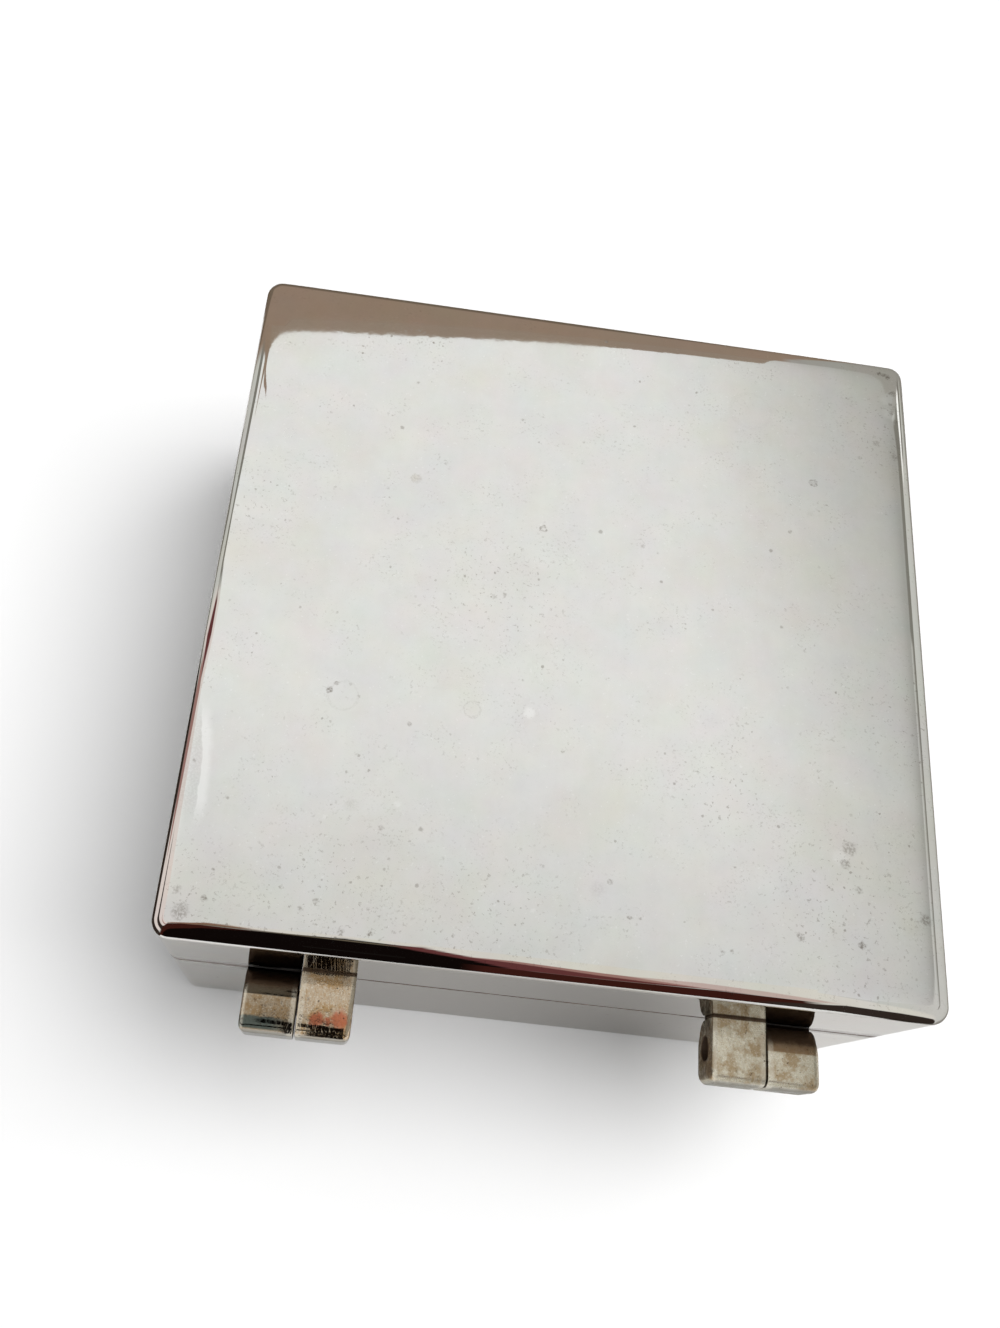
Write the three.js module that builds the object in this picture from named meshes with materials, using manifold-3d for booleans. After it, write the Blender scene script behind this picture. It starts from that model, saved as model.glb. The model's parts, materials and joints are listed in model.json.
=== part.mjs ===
// A square trinket box: two plated metal shells joined at the back by two block hinges,
// lined inside with thin wooden boards and standing on a glued felt pad.
// Millimetres, +Z up, front at -Y, hinges at +Y, origin at the centre of the underside.

import * as THREE from 'three';
import { mergeVertices } from 'three/addons/utils/BufferGeometryUtils.js';
import Module from 'manifold-3d';

const wasm = await Module();
wasm.setup();

// Outside of the box
const boxWidth = 100; // left to right
const boxDepth = 100; // front to back, without the hinges
const baseHeight = 29.5; // metal base, from its bottom to the seam
const lidHeight = 18.5; // metal lid, from the seam to its top
const cornerRadius = 2.3; // upright corners
const topEdgeRadius = 2.0; // round edge of the lid's top
const bottomEdgeRadius = 0.8; // round edge of the base's bottom
const rimEdgeRadius = 0.35; // eased edges on both sides of the seam

// Thicknesses
const wallThickness = 1.2; // metal of both shells
const feltThickness = 0.8;
const boardThickness = 4; // upright lining boards
const floorBoardThickness = 3;
const lidPanelThickness = 3;

// Fits
const liningGap = 0.3; // glue line between metal and upright boards
const boardJointGap = 0.1; // between one board's end and the next board's face
const rimRecess = 0.2; // boards stop short of the metal rim
const feltInset = 3; // felt stops short of the bottom's edge

// Block hinges
const hingeInset = 11.4; // from the box's left or right side to the hinge on that side
const knuckleWidth = 7.0;
const knuckleGap = 0.6; // between a hinge's two knuckles
const axisOffset = 4.0; // pivot line, behind the back wall
const knuckleRadius = 3.7; // round inner quarter, and half of the knuckle's height
const knuckleReach = 4.5; // from the pivot line to the knuckle's outer face
const upperCornerRadius = 0.8; // outer corner above the pivot line, seen from the side
const lowerCornerRadius = 1.6; // outer corner below the pivot line, seen from the side
const planCornerRadius = 0.9; // outer corners, seen from above
const pinRadius = 1.6;
const pinClearance = 0.05; // radial
const pinRecess = 2.0; // pin end, inside the mouth of its bore
const pinEndChamfer = 0.3;
const pinEndGap = 0.2; // pin end, short of the bore's closed end
const boreEndWall = 1.4; // metal left at the bore's closed end

// Steps along each quarter round
const cornerSteps = 8;
const edgeSteps = 6;
const rimSteps = 2;
const knuckleSteps = 10;
const boreSteps = 48;

// Levels and inner sizes that follow from the above
const baseBottomZ = feltThickness;
const seamZ = baseBottomZ + baseHeight;
const lidTopZ = seamZ + lidHeight;
const cavityFloorZ = baseBottomZ + wallThickness;
const cavityCeilingZ = lidTopZ - wallThickness;
const pivotY = boxDepth / 2 + axisOffset;
const boreRadius = pinRadius + pinClearance;
const liningInset = wallThickness + liningGap;

const quarter = Math.PI / 2;

// Points of a quarter arc in a plane, from one angle through a right angle
function quarterArc(centreX, centreY, radius, startAngle, turn, steps) {
  const points = [];
  for (let i = 0; i <= steps; i += 1) {
    const angle = startAngle + (turn * quarter * i) / steps;
    points.push([centreX + radius * Math.cos(angle), centreY + radius * Math.sin(angle)]);
  }
  return points;
}

// The box's outline seen from above, drawn in by an inset, with its corners drawn in alike
function boxOutline(inset) {
  const radius = Math.max(cornerRadius - inset, 0.1);
  const straightX = boxWidth / 2 - inset - radius;
  const straightY = boxDepth / 2 - inset - radius;
  const signs = [[1, 1], [-1, 1], [-1, -1], [1, -1]];
  return signs.flatMap(([signX, signY], corner) =>
    quarterArc(signX * straightX, signY * straightY, radius, corner * quarter, 1, cornerSteps));
}

// A closed body whose profile of [inset, height] points goes round the box's outline.
// It is closed by a flat face at each end of the profile.
function shellGeometry(profile) {
  const positions = [];
  for (const [inset, height] of profile) {
    for (const [x, y] of boxOutline(inset)) positions.push(x, y, height);
  }
  const count = positions.length / 3 / profile.length;
  const startCentre = positions.length / 3;
  positions.push(0, 0, profile[0][1]);
  positions.push(0, 0, profile[profile.length - 1][1]);
  const faces = [];
  const lastRing = (profile.length - 1) * count;
  for (let i = 0; i < count; i += 1) {
    const next = (i + 1) % count;
    faces.push(startCentre, next, i);
    faces.push(startCentre + 1, lastRing + i, lastRing + next);
    for (let ring = 0; ring < lastRing; ring += count) {
      faces.push(ring + i, ring + next, ring + count + next);
      faces.push(ring + i, ring + count + next, ring + count + i);
    }
  }
  const geometry = new THREE.BufferGeometry();
  geometry.setAttribute('position', new THREE.Float32BufferAttribute(positions, 3));
  geometry.setIndex(faces);
  return geometry;
}

// Base: underside, round bottom edge, wall, eased rim, then down inside to the cavity's floor
function baseShell() {
  const bottomCentreZ = baseBottomZ + bottomEdgeRadius;
  const rimCentreZ = seamZ - rimEdgeRadius;
  const bottomEdge = quarterArc(bottomEdgeRadius, bottomCentreZ, bottomEdgeRadius, -quarter, -1, edgeSteps);
  const rimEdge = quarterArc(rimEdgeRadius, rimCentreZ, rimEdgeRadius, 2 * quarter, -1, rimSteps);
  return shellGeometry([...bottomEdge, ...rimEdge, [wallThickness, seamZ], [wallThickness, cavityFloorZ]]);
}

// Lid: ceiling of the cavity, down inside to the rim, wall, round top edge and flat top
function lidShell() {
  const topCentreZ = lidTopZ - topEdgeRadius;
  const rimCentreZ = seamZ + rimEdgeRadius;
  const topEdge = quarterArc(topEdgeRadius, topCentreZ, topEdgeRadius, 2 * quarter, -1, edgeSteps);
  const rimEdge = quarterArc(rimEdgeRadius, rimCentreZ, rimEdgeRadius, -quarter, -1, rimSteps);
  return shellGeometry([[wallThickness, cavityCeilingZ], [wallThickness, seamZ], ...rimEdge, ...topEdge]);
}

// A flat sheet that follows the box's outline at an inset, from one height to another
function sheet(inset, lowZ, highZ) {
  return shellGeometry([[inset, lowZ], [inset, highZ]]);
}

// A board along the front or back, its two outer corners rounded to follow the shell's corners
function longBoard(side, lowZ, highZ) {
  const outline = boxOutline(liningInset).filter(([, y]) => y * side > 0);
  const outerEdge = side > 0 ? outline : outline.reverse();
  const halfLength = boxWidth / 2 - liningInset;
  const innerY = side * (boxDepth / 2 - liningInset - boardThickness);
  const corners = [...outerEdge, [-halfLength, innerY], [halfLength, innerY]];
  const shape = new THREE.Shape(corners.map(([x, y]) => new THREE.Vector2(x, y)));
  const geometry = new THREE.ExtrudeGeometry(shape, { depth: highZ - lowZ, bevelEnabled: false });
  return geometry.translate(0, 0, lowZ);
}

// A board along the left or right side, between the front and back boards
function shortBoard(side, lowZ, highZ) {
  const length = boxDepth - 2 * (liningInset + boardThickness + boardJointGap);
  const geometry = new THREE.BoxGeometry(boardThickness, length, highZ - lowZ);
  const middleX = side * (boxWidth / 2 - liningInset - boardThickness / 2);
  return geometry.translate(middleX, 0, (lowZ + highZ) / 2);
}

// A closed geometry as a solid that can be cut
function toSolid(geometry) {
  const bare = geometry.clone();
  bare.deleteAttribute('normal');
  bare.deleteAttribute('uv');
  const merged = mergeVertices(bare, 1e-4);
  const vertProperties = new Float32Array(merged.attributes.position.array);
  const triVerts = new Uint32Array(merged.index.array);
  return new wasm.Manifold(new wasm.Mesh({ numProp: 3, vertProperties, triVerts }));
}

function toGeometry(solid) {
  const mesh = solid.getMesh();
  const geometry = new THREE.BufferGeometry();
  geometry.setAttribute('position', new THREE.BufferAttribute(new Float32Array(mesh.vertProperties), 3));
  geometry.setIndex(new THREE.BufferAttribute(new Uint32Array(mesh.triVerts), 1));
  return geometry;
}

// A cylinder along X, from one x to another, on the pivot line
function pivotCylinder(radius, lowX, highX) {
  const geometry = new THREE.CylinderGeometry(radius, radius, highX - lowX, boreSteps);
  return geometry.rotateZ(quarter).translate((lowX + highX) / 2, pivotY, seamZ);
}

// The knuckle seen from the side, as [out from the pivot, up from the pivot].
// Its inner quarter is round about the pivot on the side that meets the other shell's wall:
// below for the lid's knuckles, above for the base's.
function knuckleProfile(onLid) {
  const up = onLid ? 1 : -1;
  const farRadius = onLid ? upperCornerRadius : lowerCornerRadius;
  const nearRadius = onLid ? lowerCornerRadius : upperCornerRadius;
  const farCorner = quarterArc(
    knuckleReach - farRadius, knuckleRadius - farRadius, farRadius, quarter, -1, knuckleSteps);
  const nearCorner = quarterArc(
    knuckleReach - nearRadius, nearRadius - knuckleRadius, nearRadius, 0, -1, knuckleSteps);
  const innerQuarter = quarterArc(0, 0, knuckleRadius, -quarter, -1, knuckleSteps);
  const rightWayUp = [[-axisOffset, 0], [-axisOffset, knuckleRadius], ...farCorner, ...nearCorner, ...innerQuarter];
  return rightWayUp.map(([out, height]) => [out, up * height]);
}

// The knuckle seen from above, square at the wall and rounded at its two outer corners
function knucklePlan(lowX, highX) {
  const centreY = pivotY + knuckleReach - planCornerRadius;
  const right = quarterArc(highX - planCornerRadius, centreY, planCornerRadius, 0, 1, edgeSteps);
  const left = quarterArc(lowX + planCornerRadius, centreY, planCornerRadius, quarter, 1, edgeSteps);
  return [[lowX, boxDepth / 2], [highX, boxDepth / 2], ...right, ...left];
}

function extrude(points, depth) {
  const shape = new THREE.Shape(points.map(([x, y]) => new THREE.Vector2(x, y)));
  return new THREE.ExtrudeGeometry(shape, { depth, bevelEnabled: false });
}

// One knuckle from lowX to highX, with its pin's bore from boreLowX to boreHighX
function knuckle(onLid, lowX, highX, boreLowX, boreHighX) {
  const sideways = new THREE.Matrix4().makeBasis(
    new THREE.Vector3(0, 1, 0), new THREE.Vector3(0, 0, 1), new THREE.Vector3(1, 0, 0));
  const side = extrude(knuckleProfile(onLid), highX - lowX).applyMatrix4(sideways);
  side.translate(lowX, pivotY, seamZ);
  const plan = extrude(knucklePlan(lowX, highX), 4 * knuckleRadius);
  plan.translate(0, 0, seamZ - 2 * knuckleRadius);
  const block = toSolid(side).intersect(toSolid(plan));
  return toGeometry(block.subtract(toSolid(pivotCylinder(boreRadius, boreLowX, boreHighX))));
}

// A pin with chamfered ends, along X on the pivot line
function hingePin(lowX, highX) {
  const length = highX - lowX;
  const endRadius = pinRadius - pinEndChamfer;
  const profile = [[0, 0], [endRadius, 0], [pinRadius, pinEndChamfer],
    [pinRadius, length - pinEndChamfer], [endRadius, length], [0, length]];
  const geometry = new THREE.LatheGeometry(profile.map(([r, z]) => new THREE.Vector2(r, z)), boreSteps);
  return geometry.rotateZ(-quarter).translate(lowX, pivotY, seamZ);
}

// Colours and finishes
const finishes = {
  plate: { color: 0xcfcdc8, roughness: 0.12, metalness: 1 },
  hinge: { color: 0xb9b09c, roughness: 0.32, metalness: 1 },
  pin: { color: 0x6f6a62, roughness: 0.45, metalness: 1 },
  wood: { color: 0x8a5a34, roughness: 0.6, metalness: 0 },
  felt: { color: 0x22382c, roughness: 0.95, metalness: 0 },
};

const box = new THREE.Group();
const base = new THREE.Group();
const lid = new THREE.Group();
box.add(base, lid);

function addPiece(group, name, geometry, finish) {
  const mesh = new THREE.Mesh(geometry, new THREE.MeshStandardMaterial(finishes[finish]));
  mesh.name = name;
  group.add(mesh);
}

// The four upright boards of one shell's lining
function addBoards(group, prefix, lowZ, highZ) {
  addPiece(group, `${prefix}_front`, longBoard(-1, lowZ, highZ), 'wood');
  addPiece(group, `${prefix}_back`, longBoard(1, lowZ, highZ), 'wood');
  addPiece(group, `${prefix}_left`, shortBoard(-1, lowZ, highZ), 'wood');
  addPiece(group, `${prefix}_right`, shortBoard(1, lowZ, highZ), 'wood');
}

// One hinge. The lid's knuckle is on the side towards the box's middle, and the bore is open there.
// The bore is closed at the outer end, inside the base's knuckle.
// Distances along X are outwards from the gap between the two knuckles.
function addHinge(name, side) {
  const innerEnd = -knuckleGap / 2 - knuckleWidth;
  const outerEnd = knuckleGap / 2 + knuckleWidth;
  const gapDistance = boxWidth / 2 - hingeInset - outerEnd; // from the box's middle to the gap
  const at = (distance) => side * (gapDistance + distance);
  const span = (from, to) => [Math.min(at(from), at(to)), Math.max(at(from), at(to))];
  const boreEnd = outerEnd - boreEndWall;
  const bore = span(innerEnd - pinRecess, boreEnd);
  const lidSpan = span(innerEnd, -knuckleGap / 2);
  const baseSpan = span(knuckleGap / 2, outerEnd);
  const pinSpan = span(innerEnd + pinRecess, boreEnd - pinEndGap);
  addPiece(lid, `lid_knuckle_${name}`, knuckle(true, ...lidSpan, ...bore), 'hinge');
  addPiece(base, `base_knuckle_${name}`, knuckle(false, ...baseSpan, ...bore), 'hinge');
  addPiece(base, `hinge_pin_${name}`, hingePin(...pinSpan), 'pin');
}

addPiece(base, 'felt_pad', sheet(feltInset, 0, baseBottomZ), 'felt');
addPiece(base, 'base_shell', baseShell(), 'plate');
const floorTopZ = cavityFloorZ + floorBoardThickness;
addPiece(base, 'base_lining_floor', sheet(liningInset, cavityFloorZ, floorTopZ), 'wood');
addBoards(base, 'base_lining', floorTopZ, seamZ - rimRecess);

addPiece(lid, 'lid_shell', lidShell(), 'plate');
const panelBottomZ = cavityCeilingZ - lidPanelThickness;
addPiece(lid, 'lid_lining_panel', sheet(liningInset, panelBottomZ, cavityCeilingZ), 'wood');
addBoards(lid, 'lid_lining', seamZ + rimRecess, panelBottomZ);

addHinge('left', -1);
addHinge('right', 1);

export default box;
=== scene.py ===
import bpy
import json
import math
import numpy as np
from mathutils import Matrix, Vector


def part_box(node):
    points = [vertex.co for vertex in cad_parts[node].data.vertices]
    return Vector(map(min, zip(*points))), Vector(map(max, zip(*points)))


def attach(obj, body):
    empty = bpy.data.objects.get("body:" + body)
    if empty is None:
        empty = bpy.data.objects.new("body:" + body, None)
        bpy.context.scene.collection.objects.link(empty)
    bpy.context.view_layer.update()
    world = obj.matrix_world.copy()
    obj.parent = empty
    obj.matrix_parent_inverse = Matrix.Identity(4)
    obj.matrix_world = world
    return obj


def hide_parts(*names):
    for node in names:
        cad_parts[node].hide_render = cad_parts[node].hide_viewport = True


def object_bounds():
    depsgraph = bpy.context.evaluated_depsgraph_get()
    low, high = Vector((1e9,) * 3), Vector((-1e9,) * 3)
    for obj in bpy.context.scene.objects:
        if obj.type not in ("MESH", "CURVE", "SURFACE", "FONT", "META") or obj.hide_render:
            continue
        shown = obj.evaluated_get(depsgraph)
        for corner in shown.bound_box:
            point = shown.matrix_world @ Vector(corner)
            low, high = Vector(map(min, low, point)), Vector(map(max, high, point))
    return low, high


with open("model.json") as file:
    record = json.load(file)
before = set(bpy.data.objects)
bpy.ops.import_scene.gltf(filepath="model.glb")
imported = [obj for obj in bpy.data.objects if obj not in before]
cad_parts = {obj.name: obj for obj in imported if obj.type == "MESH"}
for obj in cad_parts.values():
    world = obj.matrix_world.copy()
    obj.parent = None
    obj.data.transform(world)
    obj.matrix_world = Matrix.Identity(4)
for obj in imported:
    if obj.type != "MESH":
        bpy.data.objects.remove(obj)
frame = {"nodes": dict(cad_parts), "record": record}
cadLow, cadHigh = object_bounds()
mm = 0.001  # everything below is written in millimetres and made in metres
quarter = math.pi / 2
seamHeight = 30.3

# Shapes


# Points of an arc, from one angle to another, as an array of [x, y]
def arcPoints(centreX, centreY, radius, startAngle, endAngle, steps):
    angle = np.linspace(startAngle, endAngle, steps + 1)
    return np.stack([centreX + radius * np.cos(angle), centreY + radius * np.sin(angle)], axis=1)


# A rectangle with round corners, anticlockwise. Each side's points crowd towards its ends by a cosine.
def roundedOutline(halfX, halfY, radius, cornerSteps=12, sideSteps=24):
    stops = (1 - np.cos(np.linspace(0, math.pi, sideSteps + 1)[1:-1, None])) / 2
    signs = ((1, 1), (-1, 1), (-1, -1), (1, -1))
    corners = [arcPoints(sx * (halfX - radius), sy * (halfY - radius), radius,
                         k * quarter, (k + 1) * quarter, cornerSteps)
               for k, (sx, sy) in enumerate(signs)]
    parts = []
    for k, corner in enumerate(corners):
        following = corners[(k + 1) % 4][0]
        parts += [corner, corner[-1] + stops * (following - corner[-1])]
    return np.concatenate(parts)


# The profile of an upright side from one height to another, with both edges rounded, as [inset, height]
def roundedSide(edge, low, high):
    return np.concatenate([arcPoints(edge, low + edge, edge, -quarter, -math.pi, 4),
                           arcPoints(edge, high - edge, edge, math.pi, quarter, 4)])


# Carries a profile of [inset, height] round an outline: every profile point becomes one level ring
def levelRings(profile, outlineAt):
    outlines = [outlineAt(inset) for inset, height in profile]
    return np.array([np.column_stack([outline, np.full(len(outline), height)])
                     for outline, (inset, height) in zip(outlines, profile)])


# Adds a point just inside both ends of every long stretch of a profile, so that flat faces stay flat when shaded
def withSupports(profile, margin=0.25, least=1.2):
    kept = [profile[0]]
    for start, end in zip(profile[:-1], profile[1:]):
        length = np.linalg.norm(end - start)
        if length > least:
            step = (end - start) * margin / length
            kept += [start + step, end - step]
        kept.append(end)
    return np.array(kept)


def addObject(name, data):
    added = bpy.data.objects.new(name, data)
    bpy.context.scene.collection.objects.link(added)
    return added


# The quads between each ring of points and the next, and, where joined is true, between the last and the first
def ringQuads(count, around, joined=False):
    index = np.arange(count * around).reshape(count, around)
    following = np.roll(index, -1, axis=1)
    quads = np.stack([index, following, np.roll(following, -1, axis=0), np.roll(index, -1, axis=0)], axis=-1)
    return (quads if joined else quads[:-1]).reshape(-1, 4)


# A closed surface from rings of points: each ring is joined to the next. The ends are closed by a fan round
# each ring's middle, or, where joined is true, the last ring is joined to the first.
def ringSurface(name, rings, joined=False):
    count, around = rings.shape[:2]
    quads = ringQuads(count, around, joined)
    points = rings.reshape(-1, 3)
    triangles = np.zeros((0, 3), int)
    if not joined:
        startFan = np.column_stack([np.full(around, len(points)), quads[:around, [1, 0]]])
        endFan = np.column_stack([np.full(around, len(points) + 1), quads[-around:, [3, 2]]])
        triangles = np.concatenate([startFan, endFan])
        points = np.concatenate([points, rings[0].mean(0)[None], rings[-1].mean(0)[None]])
    halves = np.concatenate([quads[:, [0, 1, 2]], quads[:, [0, 2, 3]], triangles])
    a, b, c = (points[halves[:, k]] for k in range(3))
    if np.einsum("ij,ij->i", a, np.cross(b, c)).sum() < 0:
        quads, triangles = quads[:, ::-1], triangles[:, ::-1]
    mesh = bpy.data.meshes.new(name)
    mesh.vertices.add(len(points))
    mesh.vertices.foreach_set("co", (points * mm).ravel())
    loops = np.concatenate([quads.ravel(), triangles.ravel()])
    starts = np.concatenate([np.arange(len(quads)) * 4, len(quads) * 4 + np.arange(len(triangles)) * 3])
    mesh.loops.add(len(loops))
    mesh.loops.foreach_set("vertex_index", loops)
    mesh.polygons.add(len(starts))
    mesh.polygons.foreach_set("loop_start", starts)
    mesh.update(calc_edges=True)
    mesh.validate()
    mesh.polygons.foreach_set("use_smooth", np.ones(len(mesh.polygons), bool))
    return addObject(name, mesh)


# Gives a piece its material and its body, and hides the CAD node that it stands for
def place(piece, node, material):
    piece.data.materials.append(material)
    body = next(name for name, members in frame["record"]["behaviour"]["bodies"].items() if node in members)
    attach(piece, body)
    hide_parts(node)
    return piece


# A CAD node's lowest and highest corners, in millimetres
def nodeBox(node):
    low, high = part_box(node)
    return np.array(low) / mm, np.array(high) / mm


# A node's name as a piece's name, such as lidKnuckleLeft
def pieceName(node):
    first, *others = node.split("_")
    return first + "".join(word.capitalize() for word in others)


# Material helpers


building = {}  # its "tree" is the node tree that addNode adds to


# Empties the node tree of a material or of the world, and starts building it
def startTree(owner):
    owner.use_nodes = True
    building["tree"] = owner.node_tree
    owner.node_tree.nodes.clear()


def isSocket(value):
    return isinstance(value, bpy.types.NodeSocket)


# Sets a node's inputs, to values or to other nodes' sockets
def setInputs(node, inputs):
    for key, value in inputs.items():
        if isSocket(value):
            building["tree"].links.new(value, node.inputs[key])
        else:
            node.inputs[key].default_value = value


def addNode(kind, inputs={}, **settings):
    node = building["tree"].nodes.new(kind)
    for key, value in settings.items():
        setattr(node, key, value)
    setInputs(node, inputs)
    return node


def setSurface(shaded):
    addNode("ShaderNodeOutputMaterial", {"Surface": shaded})


def newMaterial(name):
    material = bpy.data.materials.new(name)
    startTree(material)
    return material


def newShader(name):
    material, shader = newMaterial(name), addNode("ShaderNodeBsdfPrincipled")
    setSurface(shader.outputs[0])
    return material, shader


# Object coordinates in millimetres, moved, then turned, then stretched
def millimetres(stretch=(1, 1, 1), turn=(0, 0, 0)):
    point = addNode("ShaderNodeTexCoord").outputs["Object"]
    if any(turn):
        point = addNode("ShaderNodeMapping", {"Vector": point, "Rotation": turn}).outputs[0]
    return addNode("ShaderNodeMapping", {"Vector": point, "Scale": [s / mm for s in stretch]}).outputs[0]


def noise(vector, size, detail=3.0, roughness=0.55, distortion=0.0):
    return addNode("ShaderNodeTexNoise", {
        "Vector": vector, "Scale": 1 / size, "Detail": detail,
        "Roughness": roughness, "Distortion": distortion}).outputs["Fac"]


def colourNoise(vector, size, detail):
    return addNode("ShaderNodeTexNoise", {"Vector": vector, "Scale": 1 / size, "Detail": detail}).outputs["Color"]


def calculate(operation, a, b=0.0, clamp=False):
    return addNode("ShaderNodeMath", {0: a, 1: b}, operation=operation, use_clamp=clamp).outputs[0]


def times(a, b):
    return calculate("MULTIPLY", a, b)


# How far one value is from another, either way
def apart(a, b):
    return calculate("ABSOLUTE", calculate("SUBTRACT", a, b))


def highest(values):
    result = values[0]
    for value in values[1:]:
        result = calculate("MAXIMUM", result, value)
    return result


def vectorMath(operation, *values):
    return addNode("ShaderNodeVectorMath", dict(enumerate(values)), operation=operation).outputs


def partsOf(vector):
    return addNode("ShaderNodeSeparateXYZ", {0: vector}).outputs


# Carries a value from one range to another, held at both ends. A falling range is written high to low.
def carry(value, start, end, toStart=0.0, toEnd=1.0, smooth=True):
    return addNode("ShaderNodeMapRange", {
        "Value": value, "From Min": start, "From Max": end, "To Min": toStart, "To Max": toEnd},
        interpolation_type="SMOOTHSTEP" if smooth else "LINEAR").outputs[0]


def blendColour(amount, a, b):
    first, second = (value if isSocket(value) else (*value, 1) for value in (a, b))
    return addNode("ShaderNodeMix", {0: amount, 6: first, 7: second}, data_type="RGBA").outputs[2]


# Lays colours over one another. Each layer is an amount and a colour.
def layered(colour, layers):
    for amount, over in layers:
        colour = blendColour(amount, colour, over)
    return colour


def bump(height, distance, normal=None):
    inputs = {"Height": height, "Distance": distance * mm}
    if normal is not None:
        inputs["Normal"] = normal
    return addNode("ShaderNodeBump", inputs).outputs[0]


# Small pits: one in each cell of a random pattern, kept in a share of the cells, each with its own radius
def pits(vector, cell, largest, share, mask=None):
    pattern = addNode("ShaderNodeTexVoronoi", {"Vector": vector, "Scale": 1 / cell})
    random = addNode("ShaderNodeSeparateColor", {0: pattern.outputs["Color"]})
    radius = carry(random.outputs[1], 0, 1, 0.35 * largest / cell, largest / cell, smooth=False)
    inside = carry(calculate("DIVIDE", pattern.outputs["Distance"], radius), 1.0, 0.45)
    kept = calculate("LESS_THAN", random.outputs[0], share)
    found = times(inside, kept)
    return found if mask is None else times(found, mask)


# Hairline scratches: noise stretched a hundredfold along one direction, of which only the peaks are kept
def scratches(turn, width=0.12, keep=0.66):
    vector = millimetres((1, 0.01, 0.4), (0, 0, turn))
    return carry(noise(vector, width, 2.0), keep, keep + 0.12)


# Plated metal

plateLook = {
    "silver": (0.79, 0.785, 0.762),
    "yellowed": (0.745, 0.725, 0.665),
    "greyed": (0.755, 0.76, 0.745),
    "sheen": (0.62, 0.61, 0.58),
    "mottled": (0.64, 0.64, 0.60),
    # pale specks, and a painted highlight on the lid
    "bright": (0.93, 0.93, 0.92),
    "pitted": (0.20, 0.17, 0.14),
    "seamDirt": (0.13, 0.085, 0.065),
    "dulled": (0.395, 0.38, 0.355),  # painted shade over the middle of the back wall, for the shadow that it reflects
    "edgeTint": (0.7, 0.685, 0.665),  # how much is left of the reflection at a low angle
    "roughness": 0.03,
    "patchSize": 17.0,
    "clusterSize": 5.0,
    "speckSize": 0.42,
    "crowdedSize": 0.55,  # of the specks where the lid is speckled
    "sheenSize": 0.7,
    "mottleSize": 2.4,
    "tintSize": 5.5,
    "brightSize": 0.5,
    "singlePits": (4.2, 0.45, 0.45),  # the size of a cell, the largest radius and the share of cells with a pit
    "finePits": (1.3, 0.3, 0.4),
    # faint waves, ripples and grain left by polishing: size, detail and height
    "waves": [(13.0, 1.0, 0.012), (3.6, 2.0, 0.0035), (0.7, 1.0, 0.0005)],
}

# Dirt in the seam, and painted shade over the back wall. Pairs run from none to all of it.
wallLook = {
    "line": (0.6, 0.3),  # up or down from the seam
    "spread": (3.0, 0.7),
    "spreadAlong": (22.0, 32.0),  # from the middle, either way
    "spreadOut": (49.6, 49.8),
    "dulledMiddle": 3.0,
    "dulledAlong": (36.0, 22.0),
    "dulledBeyond": (-28.0, -36.0),  # a weaker stretch at -X
    "dulledOut": (49.75, 49.97),
}

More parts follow.
